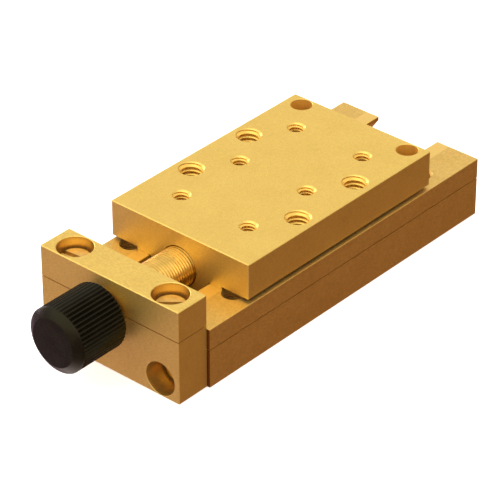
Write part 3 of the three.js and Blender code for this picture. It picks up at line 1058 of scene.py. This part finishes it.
class SLIDE_OT_screws(bpy.types.Operator):
    """Slotted cheese-head screws of the cap, the block and the rails"""

    bl_idname = "slide.screws"
    bl_label = "Cheese Head Screws"

    def execute(self, context):
        screws = sizes("screws")
        upright = (0, 0, 0)
        facing_knob = (math.pi / 2, 0, 0)
        slots = ((0, 0, screws.left_slot), (0, 0, screws.right_slot))
        for name, nodes, size, look, aims in (
            ("cap_screws", CAP_SCREWS, "big", "screw", slots),
            # The block screws take the painted-shade brass of their counterbores.
            ("block_screws", BLOCK_SCREWS, "big", "deep_screw", (facing_knob,) * len(BLOCK_SCREWS)),
            ("rail_screws", RAIL_SCREWS, "rail", "screw", (upright,) * len(RAIL_SCREWS)),
        ):
            boxes = [corners(node) for node in nodes]
            extent = boxes[0][1] - boxes[0][0]
            tops = []
            for (near, far), aim in zip(boxes, aims):
                middle = (near + far) / 2
                flat = aim == facing_knob
                tops.append((middle.x, near.y, middle.z) if flat else (middle.x, middle.y, far.z))
            piece = mesh_object(name, tops, [])
            aimed = piece.data.attributes.new("aim", "FLOAT_VECTOR", "POINT")
            aimed.data.foreach_set("vector", [turn for aim in aims for turn in aim])
            values = {
                "Head": extent.x / 2,
                "Head Height": getattr(screws, f"{size}_head"),
                "Shank": getattr(screws, f"{size}_shank"),
                "Length": max(extent.y, extent.z),
                "Slot Width": getattr(screws, f"{size}_slot"),
                "Slot Depth": getattr(screws, f"{size}_slot_depth"),
                "Chamfer": screws.head_chamfer,
                "Sides": SIDES // 2,
            }
            tree(screw_tree).run(piece, values)
            finished(piece, look, "base", "screw_brass", *nodes)
        return {"FINISHED"}


class SLIDE_OT_leadscrew(bpy.types.Operator):
    """Leadscrew with its fine thread, thrust collar, journals and knob shaft"""

    bl_idname = "slide.leadscrew"
    bl_label = "Leadscrew"

    def execute(self, context):
        screws = sizes("screws")
        place = (0, 0, AXIS_HEIGHT)
        front, tip, face = SCREW_LOW.y, SCREW_HIGH.y, BLOCK_LOW.y
        middle = (face + BLOCK_HIGH.y) / 2
        half = screws.collar_width / 2
        collar, journal, shaft = SCREW_HIGH.x, screws.journal, screws.knob_shaft
        broken = screws.head_chamfer
        crest, tapered = screws.thread_radius, screws.tip_chamfer
        root = crest - screws.thread_depth
        start = BASE_LOW.y + screws.thread_gap
        piece = threaded_rod(
            "leadscrew_body", root, crest, screws.thread_pitch, start, tip, place, "Y", SCREW_SIDES
        )
        envelope = [
            (0, start - PAST), (crest + PAST, start - PAST), (crest + PAST, tip - tapered - PAST),
            (crest - tapered, tip), (0, tip),
        ]
        combined(piece, [turned("envelope", envelope, place, "Y")], "INTERSECT")
        stem = [
            (0, front), (shaft - broken, front), (shaft, front + broken), (shaft, face), (journal, face),
            (journal, middle - half), (collar, middle - half), (collar, middle + half),
            (journal, middle + half), (journal, start + PAST), (0, start + PAST),
        ]
        combined(piece, [turned("stem", stem, place, "Y", SCREW_SIDES)], "UNION")
        finished(piece, "leadscrew", "screw", "leadscrew_brass", "leadscrew", sharp=12)
        return {"FINISHED"}


def arc(middle, radius, start, end, steps):
    """Points (radius, height) round a rounded edge, from start to end in degrees from outward."""
    turns = (math.radians(start + (end - start) * step / steps) for step in range(steps + 1))
    return [(middle[0] + radius * math.cos(turn), middle[1] + radius * math.sin(turn)) for turn in turns]


def rod(radius, low, high, broken):
    """The outline of a rod with both ends chamfered, as far as the rim of its upper end."""
    return [
        (0, low), (radius - broken, low), (radius, low + broken),
        (radius, high - broken), (radius - broken, high),
    ]


def set_screw_hole(gap):
    """A hole up through the knob's and bush's underside, with a gap round the set screw."""
    radius = (SET_HIGH.x - SET_LOW.x) / 2 + gap
    foot = KNOB_LOW.z - PAST
    outline = [(0, foot), (radius, foot), (radius, AXIS_HEIGHT), (0, AXIS_HEIGHT)]
    return turned("set_screw_hole", outline, (0, (SET_LOW.y + SET_HIGH.y) / 2, 0), sides=SIDES // 2)


class SLIDE_OT_knob(bpy.types.Operator):
    """Ribbed knob, hollow behind for its bush"""

    bl_idname = "slide.knob"
    bl_label = "Knob"

    def execute(self, context):
        screws = sizes("screws")
        radius, face, socket = KNOB_HIGH.x, screws.knob_face, screws.socket_radius
        front, rear = KNOB_LOW.y, KNOB_HIGH.y
        wall_start, wall_end = front + screws.front_bevel, rear - screws.rear_bevel
        floor = rear - screws.socket_depth
        ease, run = screws.bevel_ease, screws.rib_runout
        slant = math.degrees(math.atan2(radius - face, screws.front_bevel))
        rows = 10
        wall = [(radius, wall_start + (wall_end - wall_start) * row / rows) for row in range(1, rows)]
        outline = [
            (0, front),
            *arc((face, front + ease), ease, -90, -slant, 3),
            *arc((radius - ease, wall_start), ease, -slant, 0, 3),
            (radius, wall_start + run),
            *wall,
            *arc((radius - screws.rear_bevel, wall_end), screws.rear_bevel, 0, 90, 8),
            (socket, rear), (socket, floor), (0, floor),
        ]
        piece = turned("knob_body", outline, (0, 0, AXIS_HEIGHT), "Y", screws.rib_count * SIDES_PER_RIB)
        values = {
            "Radius": radius, "Depth": screws.rib_depth, "Height": AXIS_HEIGHT,
            "Start": wall_start, "Run": run, "Ribs": screws.rib_count,
        }
        tree(rib_tree).run(piece, values)
        combined(piece, [set_screw_hole(sizes("bodies").mouth)])
        finished(piece, "plastic", "screw", "black_plastic", "knob")
        return {"FINISHED"}


class SLIDE_OT_knob_fittings(bpy.types.Operator):
    """Bush inside the knob, and the set screw that locks it to the shaft"""

    bl_idname = "slide.knob_fittings"
    bl_label = "Bush and Set Screw"

    def execute(self, context):
        bodies, screws = sizes("bodies"), sizes("screws")
        broken = bodies.mouth
        place = (0, 0, AXIS_HEIGHT)
        front, rear, outer = BUSH_LOW.y, BUSH_HIGH.y, BUSH_HIGH.x
        bore, bore_end = screws.knob_shaft + bodies.nut_gap, SCREW_LOW.y - END
        outline = [*rod(outer, front, rear, broken), (bore, rear), (bore, bore_end), (0, bore_end)]
        bush = combined(turned("bush_body", outline, place, "Y"), [set_screw_hole(bodies.nut_gap)])
        finished(bush, "screw", "screw", "screw_brass", "knob_bush")

        foot, top = SET_LOW.z, SET_HIGH.z
        middle = (0, (SET_LOW.y + SET_HIGH.y) / 2, 0)
        outline = [*rod((SET_HIGH.x - SET_LOW.x) / 2, foot, top, broken), (0, top)]
        half, socket_top = screws.set_socket / 2, foot + screws.set_depth
        key = [(0, foot - PAST), (half, foot - PAST), (half, socket_top), (0, socket_top)]
        hexagon = 6
        screw = turned("set_screw_body", outline, middle, sides=SIDES // 2)
        combined(screw, [turned("socket", key, middle, sides=hexagon)])
        finished(screw, "steel", "screw", "hardened_steel", "knob_set_screw")
        return {"FINISHED"}


class SLIDE_OT_plain_nodes(bpy.types.Operator):
    """Finishes on the frame's own pins, washers and nut, whose shapes are right as they are"""

    bl_idname = "slide.plain_nodes"
    bl_label = "Pins, Washers and Nut"

    def execute(self, context):
        for node in (*DOWELS, *WASHERS, "lead_nut"):
            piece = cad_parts[node]
            look = finish("bronze" if node == "lead_nut" else "steel")
            if not piece.material_slots:
                piece.data.materials.append(None)
            for slot in piece.material_slots:
                slot.material = look
        return {"FINISHED"}


# Stage


def soft_light(name, power, size, place, glossy, shade=(1, 1, 1)):
    """A square area light that points at the slide."""
    light = bpy.data.lights.new(name, "AREA")
    light.energy = power
    light.size = size
    light.color = shade
    lamp = bpy.data.objects.new(name, light)
    lamp.location = place
    lamp.rotation_euler = Vector(place).to_track_quat("Z", "Y").to_euler()
    lamp.visible_glossy = glossy
    bpy.context.scene.collection.objects.link(lamp)
    return lamp


def studio_surround():
    """White overhead, and warm and darker from beside and below, for the brass to reflect."""
    world = bpy.data.worlds.new("studio")
    world.use_nodes = True
    graph = Graph(world.node_tree)
    graph.tree.nodes.clear()
    x, y, z = graph.parts(graph.out("ShaderNodeTexCoord", output="Generated"))
    side = graph.span(x * -0.66 + y * -0.75, -0.6, 0.6)
    key = graph.span(x * 0.25 - y, 0.0, 0.6)
    beside = graph.mix(side, (0.21, 0.06, 0.0), (0.5, 0.33, 0.42))
    above = graph.mix(key, (1.06, 1.04, 1.0), (2.2, 2.15, 2.05))
    below = graph.mix(graph.span(z, -0.8, -0.98), beside, (2.4, 2.0, 1.95))
    shade = graph.mix(graph.span(z, 0.04, 0.4), below, above)
    light = graph.out("ShaderNodeBackground", inputs={"Color": shade, "Strength": 1.0})
    graph.node("ShaderNodeOutputWorld", inputs={"Surface": light})
    bpy.context.scene.world = world


class SLIDE_OT_stage(bpy.types.Operator):
    """Pale floor, soft studio light and the camera"""

    bl_idname = "slide.stage"
    bl_label = "Stage"

    def execute(self, context):
        scene = context.scene
        ground = BASE_LOW.z - 0.02 * MM
        reach = 4
        edges = ((-reach, -reach), (reach, -reach), (reach, reach), (-reach, reach))
        floor = mesh_object("floor", [(x, y, ground) for x, y in edges], [(0, 1, 2, 3)])
        surface = Surface("pale_floor")
        shade = tuple(sizes("finish").floor)
        tint = surface.mix(surface.noise(0.4, 2), shade, scaled(shade, 0.98))
        glow = {"Emission Color": (1, 1, 1, 1), "Emission Strength": 0.4}
        floor.data.materials.append(surface.finish({"Base Color": tint, "Roughness": 0.9, **glow}))
        floor.visible_glossy = False
        studio_surround()
        soft_light("overhead", 6, 0.9, (-0.35, 0.45, 1.0), False)
        soft_light("left_window", 6, 0.5, (-1.1, 0, 0.1), True, (1, 0.92, 1))

        view = sizes("view")
        turn, rise = view.azimuth, view.elevation
        flat = math.cos(rise)
        back = Vector((math.sin(turn) * flat, -math.cos(turn) * flat, math.sin(rise)))
        lens = bpy.data.cameras.new("camera")
        lens.lens = view.lens
        lens.sensor_width = 36
        lens.clip_start = 0.01
        camera = bpy.data.objects.new("camera", lens)
        camera.location = Vector(view.target) + back * view.distance
        camera.rotation_euler = back.to_track_quat("Z", "Y").to_euler()
        scene.collection.objects.link(camera)
        scene.camera = camera
        scene.view_settings.view_transform = "Standard"
        return {"FINISHED"}


# Add-on

OPERATORS = (
    SLIDE_OT_base_plate,
    SLIDE_OT_rails,
    SLIDE_OT_bearing,
    SLIDE_OT_carriage,
    SLIDE_OT_screws,
    SLIDE_OT_leadscrew,
    SLIDE_OT_knob,
    SLIDE_OT_knob_fittings,
    SLIDE_OT_plain_nodes,
    SLIDE_OT_stage,
)


class SLIDE_PT_panel(bpy.types.Panel):
    """Every size, colour and piece of the slide"""

    bl_label = "Dovetail Slide"
    bl_idname = "SLIDE_PT_panel"
    bl_space_type = "VIEW_3D"
    bl_region_type = "UI"
    bl_category = "Slide"

    def draw(self, context):
        for operator in OPERATORS:
            self.layout.operator(operator.bl_idname)
        for group in GROUPS:
            box = self.layout.box()
            settings = getattr(context.scene, group)
            for name in settings.__annotations__:
                box.prop(settings, name)


def register():
    for group in GROUPS.values():
        bpy.utils.register_class(group)
    for name, group in GROUPS.items():
        setattr(bpy.types.Scene, name, PointerProperty(type=group))
    for operator in OPERATORS:
        bpy.utils.register_class(operator)
    bpy.utils.register_class(SLIDE_PT_panel)


def unregister():
    bpy.utils.unregister_class(SLIDE_PT_panel)
    for operator in reversed(OPERATORS):
        bpy.utils.unregister_class(operator)
    for name in GROUPS:
        delattr(bpy.types.Scene, name)
    for group in reversed(GROUPS.values()):
        bpy.utils.unregister_class(group)


def main():
    register()
    for operator in OPERATORS:
        category, action = operator.bl_idname.split(".")
        getattr(getattr(bpy.ops, category), action)()


if __name__ == "__main__":
    main()
